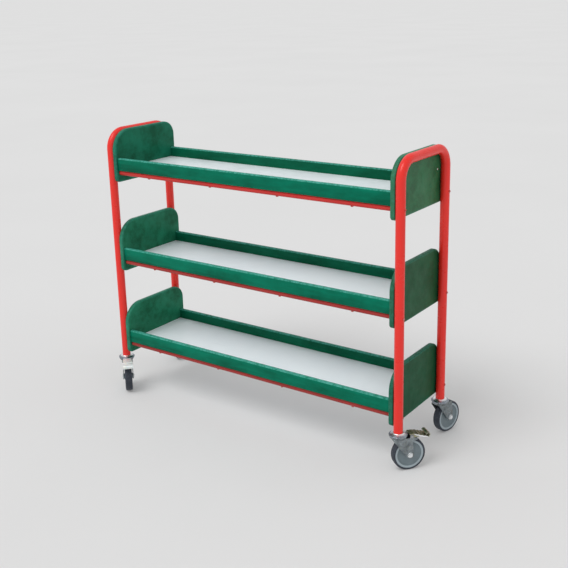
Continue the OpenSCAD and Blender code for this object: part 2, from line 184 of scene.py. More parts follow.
def loft(bm, rings, closed=False):
    """Joins rings of equally many points, and caps the two ends unless the rings close."""
    rows = [[bm.verts.new(p) for p in ring] for ring in rings]
    pairs = list(zip(rows, rows[1:]))
    if closed:
        pairs.append((rows[-1], rows[0]))
    else:
        bm.faces.new(rows[0])
        bm.faces.new(list(reversed(rows[-1])))
    count = len(rows[0])
    for here, there in pairs:
        for i in range(count):
            j = (i + 1) % count
            bm.faces.new((here[j], here[i], there[i], there[j]))
    return rows


def lathe(bm, profile, matrix, steps=96):
    """Turns a closed profile of (radius, height) points about the matrix's Z axis."""
    turns = [2 * math.pi * i / steps for i in range(steps)]
    rings = [[matrix @ Vector((r * math.cos(t), r * math.sin(t), z)) for r, z in profile] for t in turns]
    return loft(bm, rings, closed=True)


def hexagon(turn):
    """How far a hexagon's side lies from its centre at this turn, for corners at radius 1."""
    sixth = math.pi / 3
    return math.cos(sixth / 2) / math.cos(turn % sixth - sixth / 2)


def turned(bm, profile, matrix, steps=36):
    """Turns an open profile of (radius, height, hexagonal) rings about the matrix's Z axis."""
    turns = [2 * math.pi * i / steps for i in range(steps)]
    rings = []
    for r, z, hexagonal in profile:
        ring = []
        for t in turns:
            reach = r * hexagon(t) if hexagonal else r
            ring.append(matrix @ Vector((reach * math.cos(t), reach * math.sin(t), z)))
        rings.append(ring)
    loft(bm, rings)


def mirrored(half):
    """A closed profile from its half on the positive side, given outwards from the axis."""
    return half + [(r, -z) for r, z in reversed(half)]


def fused(bm, voxel, smoothing):
    """Fuses overlapping closed solids into one skin with soft edges, as in pressed steel."""
    mesh = bpy.data.meshes.new("rough")
    bm.to_mesh(mesh)
    bm.free()
    rough = bpy.data.objects.new("rough", mesh)
    bpy.context.scene.collection.objects.link(rough)
    remesh = rough.modifiers.new("remesh", "REMESH")
    remesh.mode = "VOXEL"
    remesh.voxel_size = voxel
    smooth = rough.modifiers.new("smooth", "SMOOTH")
    smooth.iterations = smoothing
    skin = bmesh.new()
    skin.from_object(rough, bpy.context.evaluated_depsgraph_get())
    bpy.data.objects.remove(rough)
    bpy.data.meshes.remove(mesh)
    return skin


# ---------- Materials ----------

class Shader:
    """A material with one Principled shader and short ways to add the nodes it needs."""

    def __init__(self, name, roughness=0.5, values=None):
        self.material = bpy.data.materials.new(name)
        self.material.use_nodes = True
        self.tree = self.material.node_tree
        self.surface = self.tree.nodes["Principled BSDF"]
        self.surface.inputs["Roughness"].default_value = roughness
        for socket, value in (values or {}).items():
            self.surface.inputs[socket].default_value = value
        self.coords = self.tree.nodes.new("ShaderNodeTexCoord").outputs["Object"]

    def link(self, source, target):
        self.tree.links.new(source, target)

    def stretched(self, scale):
        """Object coordinates scaled by a factor along each axis."""
        node = self.tree.nodes.new("ShaderNodeMapping")
        node.inputs["Scale"].default_value = scale
        self.link(self.coords, node.inputs["Vector"])
        return node.outputs["Vector"]

    def noise(self, scale, detail=4, roughness=0.55, stretch=None):
        node = self.tree.nodes.new("ShaderNodeTexNoise")
        node.inputs["Scale"].default_value = scale
        node.inputs["Detail"].default_value = detail
        node.inputs["Roughness"].default_value = roughness
        self.link(self.stretched(stretch) if stretch else self.coords, node.inputs["Vector"])
        return node.outputs["Fac"]

    def spread(self, source, low, high, to_low=0.0, to_high=1.0):
        """Maps low..high to to_low..to_high, clamped."""
        node = self.tree.nodes.new("ShaderNodeMapRange")
        node.inputs["From Min"].default_value = low
        node.inputs["From Max"].default_value = high
        node.inputs["To Min"].default_value = to_low
        node.inputs["To Max"].default_value = to_high
        self.link(source, node.inputs["Value"])
        return node.outputs["Result"]

    def combine(self, operation, a, b):
        node = self.tree.nodes.new("ShaderNodeMath")
        node.operation = operation
        for socket, value in zip(node.inputs, (a, b)):
            if isinstance(value, (int, float)):
                socket.default_value = value
            else:
                self.link(value, socket)
        return node.outputs["Value"]

    def blend(self, factor, a, b):
        """Mixes two colours, each an (r, g, b) or another node's output."""
        node = self.tree.nodes.new("ShaderNodeMix")
        node.data_type = "RGBA"
        self.link(factor, node.inputs["Factor"])
        for socket, value in ((node.inputs[6], a), (node.inputs[7], b)):
            if isinstance(value, tuple):
                socket.default_value = (*value, 1)
            else:
                self.link(value, socket)
        return node.outputs[2]

    def attribute(self, name):
        node = self.tree.nodes.new("ShaderNodeAttribute")
        node.attribute_name = name
        return node.outputs["Fac"]

    def colour(self, source):
        self.link(source, self.surface.inputs["Base Color"])

    def roughness(self, source):
        self.link(source, self.surface.inputs["Roughness"])

    def metallic(self, source):
        self.link(source, self.surface.inputs["Metallic"])

    def bump(self, height, distance, strength=1.0):
        node = self.tree.nodes.new("ShaderNodeBump")
        node.inputs["Strength"].default_value = strength
        node.inputs["Distance"].default_value = distance
        self.link(height, node.inputs["Height"])
        self.link(node.outputs["Normal"], self.surface.inputs["Normal"])


def red_powder_coat(name, light, dark, gloss=0.35):
    """Glossy red tube paint: faint orange peel, darker handled patches and a few small chips."""
    coat = {"Specular IOR Level": gloss, "Coat Weight": 0.4 * gloss, "Coat Roughness": 0.1}
    s = Shader(name, values=coat)
    patches = s.spread(s.noise(9, 5, stretch=(1, 1, 0.35)), 0.35, 0.7)
    paint = s.blend(patches, light, dark)
    chips = s.spread(s.noise(240, 2), 0.735, 0.75)
    few = s.spread(s.noise(14, 3), 0.52, 0.62)
    chipped = s.combine("MULTIPLY", chips, few)
    s.colour(s.blend(chipped, paint, CHIPPED_PRIMER))
    s.roughness(s.spread(s.noise(30, 6), 0.3, 0.7, 0.24, 0.38))
    s.bump(s.noise(420, 3), 0.00012, 0.35)
    return s.material


def painted_bolt():
    """Bolt heads that were painted over with the tubes, bare where a tool has turned them."""
    s = Shader("painted_bolt", roughness=0.35)
    bare = s.spread(s.noise(420, 4), 0.56, 0.62)
    s.colour(s.blend(bare, (0.62, 0.030, 0.022), (0.50, 0.49, 0.47)))
    s.metallic(bare)
    s.bump(s.noise(600, 3), 0.0001, 0.4)
    return s.material


def green_enamel(name, dark, light, edge, gloss=0.2, rise=0.0):
    """Brushed green enamel: cloudy, streaked, pale at marked edges as rubbed wear and painted highlight, and
    lighter upwards by rise as painted shade towards the bottom.
    """
    s = Shader(name, values={"Specular IOR Level": gloss})
    clouds = s.spread(s.noise(14, 7, 0.68, stretch=(0.4, 1, 1)), 0.38, 0.62, 0, 1 - rise)
    # Painted shade: the lower part of a face is darkened by rise, lighter upwards.
    clouds = s.combine("ADD", clouds, s.combine("MULTIPLY", s.attribute("height"), rise))
    streaks = s.noise(60, 5, 0.6, stretch=(0.08, 1, 1))
    paint = s.blend(clouds, dark, light)
    pale = tuple(1.35 * c for c in light)
    paint = s.blend(s.spread(streaks, 0.45, 0.75, 0, 0.35), paint, pale)
    rubbed_and_lit = s.spread(s.noise(120, 5, 0.7), 0.35, 0.60, 0.05, edge)
    # Marked edges turn pale green: rubbed wear and painted highlight on the board edges, painted highlight on the
    # lip tops.
    paint = s.blend(s.combine("MULTIPLY", s.attribute("wear_and_highlight"), rubbed_and_lit), paint, RUBBED_AND_LIT_GREEN)
    s.colour(paint)
    s.roughness(s.spread(s.noise(26, 6), 0.3, 0.72, 0.34, 0.50))
    s.bump(s.combine("ADD", streaks, s.noise(260, 3)), 0.0004, 0.35)
    return s.material


def deck_laminate():
    """Pale grey laminate with a faint speckle and long light scuffs."""
    s = Shader("deck_laminate")
    speckle = s.spread(s.noise(900, 2), 0.42, 0.62)
    clouds = s.spread(s.noise(5, 5), 0.3, 0.7)
    base = s.blend(clouds, (0.79, 0.865, 0.90), (0.86, 0.93, 0.955))
    base = s.blend(s.combine("MULTIPLY", speckle, 0.35), base, (0.93, 0.96, 0.98))
    scuffs = s.spread(s.noise(40, 6, 0.7, stretch=(0.12, 1, 1)), 0.62, 0.74, 0, 0.4)
    s.colour(s.blend(scuffs, base, (0.68, 0.74, 0.78)))
    s.roughness(s.spread(s.noise(35, 6), 0.3, 0.7, 0.30, 0.46))
    s.bump(s.noise(700, 2), 0.00008, 0.3)
    return s.material


def zinc(name, dark, bright, low, high, yellow=0.35):
    """Zinc-plated steel: mottled plating, yellowed patches, fine scratches, and bright marked places: rubbed
    edges, and painted highlights.
    """
    s = Shader(name, values={"Metallic": 1.0})
    mottle = s.spread(s.noise(55, 6, 0.65), 0.32, 0.68)
    plate = s.blend(mottle, dark, bright)
    middle = tuple((d + b) / 2 for d, b in zip(dark, bright))
    tint = (middle[0] * 1.05, middle[1] * 0.98, middle[2] * 0.70)
    plate = s.blend(s.spread(s.noise(90, 4), 0.50, 0.70, 0, yellow), plate, tint)
    s.colour(s.blend(s.attribute("wear_and_highlight"), plate, RUBBED_AND_LIT_ZINC))
    scratches = s.spread(s.noise(300, 3, stretch=(1, 0.15, 1)), 0.3, 0.7)
    s.roughness(s.spread(s.combine("MULTIPLY", scratches, s.noise(120, 6)), 0.1, 0.5, low, high))
    s.bump(s.noise(500, 4), 0.0001, 0.3)
    return s.material


def moulded(name, dark, light, low=0.4, high=0.6, grain=600):
    """Moulded plastic or rubber: slight colour drift, dusty patches, a fine grain, and a painted paler highlight
    where marked.
    """
    s = Shader(name)
    drift = s.spread(s.noise(28, 5), 0.3, 0.7)
    dusty = s.spread(s.noise(75, 6, 0.7), 0.55, 0.75, 0, 0.35)
    dust = tuple(min(1, 0.5 * c + 0.12) for c in light)
    plastic = s.blend(dusty, s.blend(drift, dark, light), dust)
    # Painted highlight: marked rings are painted paler.
    pale = tuple(min(1, 1.6 * c + 0.12) for c in light)
    s.colour(s.blend(s.combine("MULTIPLY", s.attribute("wear_and_highlight"), 0.75), plastic, pale))
    s.roughness(s.spread(s.noise(60, 5), 0.3, 0.7, low, high))
    s.bump(s.noise(grain, 3), 0.0001, 0.35)
    return s.material


def bare_wood():
    """Beech dowel: fine straight grain."""
    s = Shader("bare_beech", roughness=0.6)
    grain = s.noise(300, 4, stretch=(0.1, 1, 1))
    s.colour(s.blend(s.spread(grain, 0.3, 0.7), (0.42, 0.27, 0.14), (0.58, 0.42, 0.25)))
    s.bump(grain, 0.0001, 0.3)
    return s.material


# Dark colour, light colour and gloss of each end board. The tones differ by board as painted light and shade: the
# left boards' lit inner faces are lighter, the middle and bottom right boards darker, and the top right board's
# reddish tinge is a painted reflection of the red tube.
BOARD_LIT_COLOURS = {
    "top_left": ((0.002, 0.092, 0.044), (0.010, 0.172, 0.098), 0.12),
    "middle_left": ((0.006, 0.104, 0.048), (0.018, 0.204, 0.110), 0.12),
    "bottom_left": ((0.006, 0.108, 0.050), (0.020, 0.214, 0.116), 0.12),
    "top_right": ((0.018, 0.112, 0.042), (0.034, 0.180, 0.076), 0.18),
    "middle_right": ((0.008, 0.072, 0.026), (0.016, 0.104, 0.044), 0.12),
    "bottom_right": ((0.004, 0.068, 0.026), (0.010, 0.096, 0.042), 0.10),
}
# How pale the board edges get, as rubbed wear and painted highlight.
BOARD_EDGE_WEAR_AND_HIGHLIGHT = 0.25
BOARD_PAINT_AS_LIT = {
    place: green_enamel("board_lit_paint_" + place, dark, light, BOARD_EDGE_WEAR_AND_HIGHLIGHT, gloss)
    for place, (dark, light, gloss) in BOARD_LIT_COLOURS.items()
}

# Light and dark colour of each tray's rails: darker than the tubes' red, and darker again for the middle and
# bottom trays, as painted shade under the lips.
RAIL_SHADED_COLOURS = {
    "top": ((0.66, 0.040, 0.034), (0.56, 0.034, 0.028)),
    "middle": ((0.46, 0.040, 0.034), (0.36, 0.034, 0.028)),
    "bottom": ((0.42, 0.040, 0.034), (0.32, 0.034, 0.028)),
}
RAIL_GLOSS = 0.2
RAIL_SHADED_PAINT = {
    level: red_powder_coat("rail_shaded_paint_" + level, light, dark, RAIL_GLOSS)
    for level, (light, dark) in RAIL_SHADED_COLOURS.items()
}

# Dark colour, light colour, edge wear and highlight, and rise of the lips. The rear lips' darker tones are painted
# shade; the edge value paints a highlight on the lip tops, and the rise paints shade towards the bottom.
LIP_LIT_COLOURS = {
    "front": ((0.000, 0.094, 0.049), (0.000, 0.214, 0.126), 0.95, 0.45),
    "rear": ((0.000, 0.066, 0.030), (0.002, 0.140, 0.072), 0.80, 0.35),
}
LIP_GLOSS = 0.08
LIP_PAINT_AS_LIT = {
    depth: green_enamel("lip_lit_paint_" + depth, dark, light, wear_and_highlight, LIP_GLOSS, rise)
    for depth, (dark, light, wear_and_highlight, rise) in LIP_LIT_COLOURS.items()
}

MATERIALS = {
    "red_paint": red_powder_coat("red_powder_coat", (0.92, 0.030, 0.020), (0.82, 0.024, 0.016)),
    "green_paint": LIP_PAINT_AS_LIT["front"],
    "deck_laminate": deck_laminate(),
    "zinc_plate": zinc("zinc_plate", (0.16, 0.18, 0.22), (0.42, 0.46, 0.52), 0.24, 0.38),
    # The forks' darker copy of the zinc plate is painted shade.
    "fork_plate_shaded": zinc("fork_plate_shaded", (0.13, 0.15, 0.165), (0.33, 0.37, 0.39), 0.24, 0.40, 0.3),
    "axle_zinc": zinc("axle_zinc", (0.74, 0.78, 0.80), (0.96, 0.97, 0.98), 0.14, 0.26, 0.0),
    "painted_bolt": painted_bolt(),
    "zinc_fasteners": zinc("zinc_fasteners", (0.5, 0.5, 0.5), (0.8, 0.8, 0.79), 0.18, 0.32),
    "plain_steel": zinc("plain_steel", (0.28, 0.28, 0.29), (0.5, 0.5, 0.5), 0.3, 0.5),
    "insert_brass": zinc("insert_brass", (0.45, 0.30, 0.10), (0.75, 0.55, 0.25), 0.25, 0.4),
    "wheel_plastic": moulded("wheel_plastic", (0.14, 0.185, 0.205), (0.195, 0.245, 0.27), 0.34, 0.5),
    "tyre_rubber": moulded("tyre_rubber", (0.020, 0.026, 0.040), (0.045, 0.055, 0.075), 0.5, 0.72, 350),
    "black_plastic": moulded("black_plastic", (0.01, 0.01, 0.01), (0.03, 0.03, 0.03)),
    "dowel_beech": bare_wood(),
}
# Both pedals are one plating; the left copy is painted bright and the right one dark and olive, as painted
# reflections.
PEDAL_REFLECTION_COPIES = {
    "front_left": zinc("pedal_bright_reflection_left", (0.78, 0.90, 0.92), (1.0, 1.0, 1.0), 0.55, 0.70, 0.5),
    "front_right": zinc("pedal_dark_reflection_right", (0.16, 0.17, 0.12), (0.62, 0.60, 0.42), 0.34, 0.50, 0.9),
}


def node_material(name, slot):
    """A CAD node's material: its slot's, apart from the rails, whose red is darkened as painted shade, and their
    screws.
    """
    if name == "rail_screws":
        return MATERIALS["painted_bolt"]
    if name.startswith("rail_") and slot == "red_paint":
        return RAIL_SHADED_PAINT[name.split("_")[1]]
    return MATERIALS[slot]


def finish_nodes():
    """Puts the materials on the CAD nodes. Pieces made below replace some of them."""
    for part in frame["record"]["subparts"]:
        node = frame["nodes"][part["node"]]
        node.data.materials.clear()
        node.data.materials.append(node_material(part["node"], part["material_slot"]))


# ---------- Trays ----------

def board_ring(low, high, inset, x):
    """An end board's outline at one X, moved inwards by inset."""
    corners = [
        (high.y - BOARD_REAR_R, high.z - BOARD_REAR_R, BOARD_REAR_R, 0, 20),
        (low.y + BOARD_FRONT_R, high.z - BOARD_FRONT_R, BOARD_FRONT_R, 90, 20),
        (low.y + BOARD_BOTTOM_R, low.z + BOARD_BOTTOM_R, BOARD_BOTTOM_R, 180, 10),
        (high.y - BOARD_BOTTOM_R, low.z + BOARD_BOTTOM_R, BOARD_BOTTOM_R, 270, 10),
    ]
    points = []
    for y, z, radius, start, steps in corners:
        points += arc((y, z), radius - inset, start, start + 90, steps)
    return [Vector((x, y, z)) for y, z in points]


def end_board(level, side):
    """A plywood end board: flat faces, and rounded edges painted paler as rubbed wear and painted highlight."""
    node = f"end_board_{level}_{side}"
    low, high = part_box(node)
    flat_insets = [11 * MM, 7 * MM]
    round_steps = 5
    turns = [math.radians(90 * i / round_steps) for i in range(round_steps + 1)]
    edge = [(BOARD_EDGE_R * (1 - math.sin(t)), BOARD_EDGE_R * (1 - math.cos(t))) for t in turns]
    near = [(inset, 0, 0) for inset in flat_insets] + [(inset, depth, 1) for inset, depth in edge]
    thickness = high.x - low.x
    sections = near + [(inset, thickness - depth, wear_and_highlight) for inset, depth, wear_and_highlight in reversed(near)]
    bm = bmesh.new()
    layer = wear_and_highlight_layer(bm)
    rows = loft(bm, [board_ring(low, high, inset, low.x + depth) for inset, depth, _ in sections])
    for row, (_, _, wear_and_highlight) in zip(rows, sections):
        for vert in row:
            vert[layer] = wear_and_highlight
    add_piece(f"board_{level}_{side}", bm, BOARD_PAINT_AS_LIT[f"{level}_{side}"], "cart", [node])


def lip(level, depth):
    """A lip along the deck: rounded top edge, and a rebate that takes the deck's tongue."""
    node = f"lip_{level}_{depth}"
    low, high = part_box(node)
    inward = 1 if depth == "front" else -1
    outer_y = low.y if depth == "front" else high.y
    width = high.y - low.y
    height = high.z - low.z
    section = [(width - REBATE_W, 0)]
    section += arc((LIP_BOTTOM_R, LIP_BOTTOM_R), LIP_BOTTOM_R, 270, 180, 3)
    shoulder = height - LIP_TOP_R
    face_top = shoulder - LIP_FACE_MARGIN
    section += [(0, face_top)] + arc((LIP_TOP_R, shoulder), LIP_TOP_R, 180, 90, 6)
    section += arc((width - LIP_TOP_R, shoulder), LIP_TOP_R, 90, 0, 6) + [(width, face_top)]
    section += [(width, TONGUE_T), (width - REBATE_W, TONGUE_T)]
    bm = bmesh.new()
    layer = wear_and_highlight_layer(bm)
    height_layer = bm.verts.layers.float.new("height")
    places = [low.x + (high.x - low.x) * i / (LIP_STATIONS - 1) for i in range(LIP_STATIONS)]
    rings = [[Vector((x, outer_y + inward * u, low.z + v)) for u, v in section] for x in places]
    for row in loft(bm, rings):
        for vert, (_, v) in zip(row, section):
            # The lip's rounded top is marked for a painted highlight.
            vert[layer] = 1 if v > shoulder + LIP_TOP_HIGHLIGHT_MARGIN else 0
            # The height paints shade darker towards the bottom of the lip.
            vert[height_layer] = v / height
    add_piece(f"painted_{node}", bm, LIP_PAINT_AS_LIT[depth], "cart", [node])


def domed_screw(bm, matrix, head, shank_r, shank_l):
    """A screw along the matrix's Z axis with a domed head and a hexagonal socket. Millimetres."""
    head_r, head_h = head
    socket_r = 0.42 * head_r
    turned(bm, [
        (shank_r, -shank_l, False),
        (shank_r, 0, False),
        (head_r, 0, False),
        (head_r, 0.30 * head_h, False),
        (0.90 * head_r, 0.62 * head_h, False),
        (0.70 * head_r, 0.88 * head_h, False),
        (1.15 * socket_r, 1.00 * head_h, False),
        (socket_r, 0.97 * head_h, True),
        (socket_r, 0.35 * head_h, True),
    ], matrix)


def outward(x, y, z):
    """Matrix in millimetres at a point in metres, with its Z axis pointing outwards along X."""
    turn = math.pi / 2 if x > 0 else -math.pi / 2
    return Matrix.Translation((x, y, z)) @ Matrix.Rotation(turn, 4, "Y") @ Matrix.Scale(MM, 4)


def fixings():
    """The bolts through the uprights and the four screws in the top boards' outer faces."""
    tube_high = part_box("end_frame_right")[1]
    upright_y = tube_high.y - TUBE_D * MM / 2
    bolts = bmesh.new()
    for level in LEVELS:
        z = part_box(f"end_board_{level}_left")[0].z + BOLT_Z * MM
        for x in (-tube_high.x, tube_high.x):
            for y in (-upright_y, upright_y):
                domed_screw(bolts, outward(x, y, z), BOLT_HEAD, BOLT_R, BOLT_L)
    add_piece("bolts", bolts, MATERIALS["painted_bolt"], "cart", ["frame_bolts"])
    low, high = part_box("board_screws")
    head_r, head_h = BOARD_SCREW_HEAD
    screws = bmesh.new()
    for x in (low.x + head_h * MM, high.x - head_h * MM):
        for y in (low.y + head_r * MM, high.y - head_r * MM):
            matrix = outward(x, y, (low.z + high.z) / 2)
            domed_screw(screws, matrix, BOARD_SCREW_HEAD, BOARD_SCREW_R, BOARD_SCREW_L)
    slot = "zinc_fasteners"
    add_piece("board_screw_heads", screws, MATERIALS[slot], "cart", ["board_screws"])


# ---------- Casters ----------

def joint_place(name):
    """Where a joint's axis passes through, in the row frame."""
    return Vector(next(joint["pos_m"] for joint in frame["joints"] if joint["name"] == name))


def caster_place(corner):
    """Matrix from a caster's own millimetres to the row frame."""
    swivel = joint_place("swivel_" + corner)
    ahead = joint_place("roll_" + corner) - swivel
    heading = math.atan2(ahead.y, ahead.x)
    origin = Matrix.Translation((swivel.x, swivel.y, 0))
    return origin @ Matrix.Rotation(heading, 4, "Z") @ Matrix.Scale(MM, 4)


def trail():
    """Distance from the swivel axis back to the axle, in millimetres."""
    ahead = joint_place("roll_front_left") - joint_place("swivel_front_left")
    return math.hypot(ahead.x, ahead.y) / MM


TRAIL = trail()
PIN_X = TRAIL + 5
PIN_Z = 2 * WHEEL_R + 8
ALONG_AXLE = Matrix.Translation((TRAIL, 0, WHEEL_R)) @ Matrix.Rotation(-math.pi / 2, 4, "X")


def swivel_heads():
    """The pressed raceways that hang under the uprights: a collar, a stepped dome and a rolled rim."""
    collar = [(TUBE_D / 2 + 0.3, HEAD_TOP_Z), (16.6, HEAD_TOP_Z), (17.4, 122.6), (18.0, 121.8)]
    dome = [(19.4, 121.2), (21.6, 120.4), (24.0, 119.2), (26.2, 117.6)]
    rim = arc((HEAD_R - RIM_R, 115.6), RIM_R, 60, 0, 5)
    rim += [(HEAD_R, 114.2), (HEAD_R - 0.5, RIM_BOTTOM_Z), (HEAD_R - 1.3, RIM_BOTTOM_Z)]
    inside = [(HEAD_R - 1.8, 115.0), (24.5, 116.6), (20.0, 118.2), (15.0, 119.4)]
    inside += [(KINGPIN_R, 120.2), (KINGPIN_R, HEAD_TOP_Z - 0.6)]
    profile = collar + dome + rim + inside
    bm = bmesh.new()
    layer = wear_and_highlight_layer(bm)
    for corner in CORNERS:
        for ring in lathe(bm, profile, caster_place(corner)):
            for vert, (r, _) in zip(ring, profile):
                # Painted highlight: the dome is painted brighter towards the collar.
                vert[layer] = max(0, min(1, (HEAD_HIGHLIGHT_END_R - r) / (HEAD_HIGHLIGHT_END_R - HEAD_HIGHLIGHT_FULL_R)))
    slot = "zinc_plate"
    add_piece("swivel_heads", bm, MATERIALS[slot], "cart", ["swivel_raceways"])


def leg_outline(braked):
    """Side view of a fork leg: wide under the crown, curving in to the boss at the axle."""
    axle_place = (TRAIL, WHEEL_R)
    heel = [(HEEL_X, CROWN_BOTTOM_Z + 2), (HEEL_X, CROWN_BOTTOM_Z - 3)]
    waist = [(-13, 92), (-2, 77), (10, 61)]
    boss = arc(axle_place, BOSS_R, 205, 360, 14) + arc(axle_place, BOSS_R, 0, 20, 3)
    toe = [(TRAIL + 11, 66), (TRAIL + 9, 84), (TRAIL + 7, 96)]
    if not braked:
        return heel + waist + boss + toe + [(TRAIL + 6, CROWN_BOTTOM_Z + 2)]
    wing = [(PIN_X + 4, 95), (PIN_X + 16, 97), (PIN_X + 19.5, 99.5), (PIN_X + 20, 102.5)]
    ear = [(PIN_X + 8, 105.5)] + arc((PIN_X, PIN_Z), EAR_R, 0, 180, 10)
    ear += [(PIN_X - EAR_R, CROWN_BOTTOM_Z + 2)]
    return heel + waist + boss + toe + wing + ear


def fork_skin(braked):
    """A fork pressed from one sheet: a domed crown, a web and two legs, fused into one skin."""
    bm = bmesh.new()
    inside = [(KINGPIN_R, CROWN_TOP_Z), (KINGPIN_R, 111.0), (13.5, 111.0), (14, CROWN_BOTTOM_Z)]
    outside = [(21.5, CROWN_BOTTOM_Z), (23.6, 106), (25.4, 109), (CROWN_R, 111.6), (CROWN_R, CROWN_TOP_Z)]
    lathe(bm, inside + outside, Matrix.Identity(4), 72)
    for y in (-LEG_OUTER_Y, LEG_INNER_Y):
        prism(bm, leg_outline(braked), lambda u, v, w, y=y: Vector((u, y + w, v)), LEG_T)
    ring = [(5, 0), (9, 0), (9.6, 0.6), (9.2, 1.2), (5.6, 1.2), (5, 0.8)]
    web_top = CROWN_BOTTOM_Z + WEB_T
    web = [(HEEL_X, CROWN_BOTTOM_Z), (HEEL_X, web_top), (-13, web_top), (-13, CROWN_BOTTOM_Z)]
    for side in (-1, 1):
        mirror = Matrix.Diagonal((1, 1, side, 1))
        outer_face = ALONG_AXLE @ mirror @ Matrix.Translation((0, 0, LEG_OUTER_Y - 0.4))
        lathe(bm, ring, outer_face, 48)
        prism(bm, web, lambda u, v, w: Vector((u, w, v)), side * LEG_INNER_Y)
    bmesh.ops.recalc_face_normals(bm, faces=bm.faces)
    return fused(bm, voxel=0.8, smoothing=3)


def forks():
    """One skin for the braked casters and one for the others, copied to each corner."""
    skins = {braked: fork_skin(braked) for braked in (True, False)}
    for corner in CORNERS:
        bm = skins[corner in BRAKED].copy()
        bmesh.ops.transform(bm, matrix=caster_place(corner), verts=bm.verts)
        name = "fork_" + corner
        body = "caster_" + corner
        metal = MATERIALS["fork_plate_shaded"]
        add_piece("pressed_" + name, bm, metal, body, [name], smooth_angle=50)
    for skin in skins.values():
        skin.free()


def wheel_disc(corner, place):
    """A moulded wheel centre with a hub and a raised rim, painted paler as a highlight."""
    hub = [(BUSH_R, HUB_HALF_W), (9.2, HUB_HALF_W), (10.0, 14.4), (10.4, 12.0), (11.6, 10.2), (14.0, 9.2)]
    disc = [(17.0, 8.8), (27.0, 8.4), (35.0, 8.5), (36.6, 8.9), (37.6, 10.2)]
    rim = [(38.4, 11.2), (39.4, 11.7), (42.6, 11.9), (43.8, 11.7), (BEAD_R, 11.2)]
    profile = mirrored(hub + disc + rim)
    bm = bmesh.new()
    layer = wear_and_highlight_layer(bm)
    for ring in lathe(bm, profile, place, 128):
        for vert, point in zip(ring, profile):
            # Painted highlight: the raised rim is marked to be painted paler.
            vert[layer] = 1 if point[0] >= rim[0][0] else 0
    slot = "wheel_plastic"
    nodes = ["wheel_centre_" + corner]
    add_piece("wheel_disc_" + corner, bm, MATERIALS[slot], "wheel_" + corner, nodes)


def tyre(corner, place):
    """A rubber tyre: straight walls, rounded shoulders and a groove on each side of the tread."""
    wall = [(BEAD_R, 11.3), (BEAD_R + 0.5, 12.1), (BEAD_R + 1.6, TYRE_HALF_W)]
    centre = (WHEEL_R - TYRE_SHOULDER_R, TYRE_HALF_W - TYRE_SHOULDER_R)
    shoulder = arc(centre, TYRE_SHOULDER_R, 90, 14, 8)
    groove = [(WHEEL_R - 0.05, 5.6), (WHEEL_R - 0.6, 5.3), (WHEEL_R - 0.6, 4.7), (WHEEL_R, 4.4)]
    bm = bmesh.new()
    lathe(bm, mirrored(wall + shoulder + groove), place, 160)
    slot = "tyre_rubber"
    nodes = ["tyre_" + corner]
    add_piece("rubber_tyre_" + corner, bm, MATERIALS[slot], "wheel_" + corner, nodes)


def axle(corner, place):
    """The axle bolt: a domed head on one side, a washer and a hexagon nut on the other."""
    bm = bmesh.new()
    turned(bm, [
        (AXLE_R, -LEG_OUTER_Y, False),
        (AXLE_R, LEG_OUTER_Y, False),
        (7.0, LEG_OUTER_Y, False),
        (7.0, LEG_OUTER_Y + 1.2, False),
        (6.2, LEG_OUTER_Y + 2.4, False),
        (4.6, LEG_OUTER_Y + 3.4, False),
        (2.6, LEG_OUTER_Y + 3.9, False),
        (0.8, LEG_OUTER_Y + 4.0, False),
    ], place)
    nut_side = place @ Matrix.Rotation(math.pi, 4, "X") @ Matrix.Translation((0, 0, LEG_OUTER_Y))
    turned(bm, [(8, 0, False), (8, 0.8, False), (AXLE_R, 0.8, False)], nut_side)
    turned(bm, [(7.2, 0.8, True), (7.2, 3.4, True), (6.2, 4.0, False), (3.6, 4.0, False)], nut_side)
    turned(bm, [(3.6, 3.6, False), (3.6, 4.6, False), (3.0, 5.0, False)], nut_side)
    metal = MATERIALS["axle_zinc"]
    nodes = ["axle_" + corner]
    add_piece("axle_bolt_" + corner, bm, metal, "caster_" + corner, nodes)


def pedal_line():
    """Side view of a pedal's top face, from pin to rolled tip: (x, z, half width, edge depth)."""
    root_z = PIN_Z + PEDAL_ROOT_RISE
    start_x = PIN_X + 8
    tip_x = PEDAL_END_X - PEDAL_ROLL_R
    tip_z = PIN_Z - PEDAL_TIP_DROP + PEDAL_T
    widening = PEDAL_TIP_HALF_W - PEDAL_ROOT_HALF_W
    line = [(PIN_X - 6, root_z, 15.0, PEDAL_T), (PIN_X - 4, root_z, PEDAL_ROOT_HALF_W, PEDAL_T)]
    for i in range(PEDAL_STATIONS):
        share = i / (PEDAL_STATIONS - 1)
        ribbed = 0.1 < share < 0.86
        ridge = PEDAL_RIDGE_H * max(0, math.sin(share * PEDAL_RIDGES * 2 * math.pi)) if ribbed else 0
        x = start_x + (tip_x - start_x) * share
        z = root_z + (tip_z - root_z) * share + ridge
        half_w = PEDAL_ROOT_HALF_W + widening * min(1, share * 3)
        edge = PEDAL_T + (PEDAL_EDGE_H - PEDAL_T) * math.sin(math.pi * share)
        line.append((x, z, half_w, edge))
    roll_r = PEDAL_ROLL_R - PEDAL_T
    roll = arc((tip_x, tip_z + roll_r), roll_r, -75, 165, 16)
    return line + [(x, z, PEDAL_TIP_HALF_W, PEDAL_T) for x, z in roll]


def pedal_section(half_w, edge):
    """Section across a pedal, as (y, height over the top face): a shallow crown and turned-down edges."""
    edge_t = 1.4
    bevel = 0.9
    half = [
        (half_w - edge_t, -PEDAL_T),
        (half_w - edge_t, -edge - 0.01),
        (half_w, -edge - 0.01),
        (half_w, -bevel),
        (half_w - bevel, 0),
        (0.5 * half_w, 0.25),
    ]
    return half + [(-y, n) for y, n in reversed(half)]


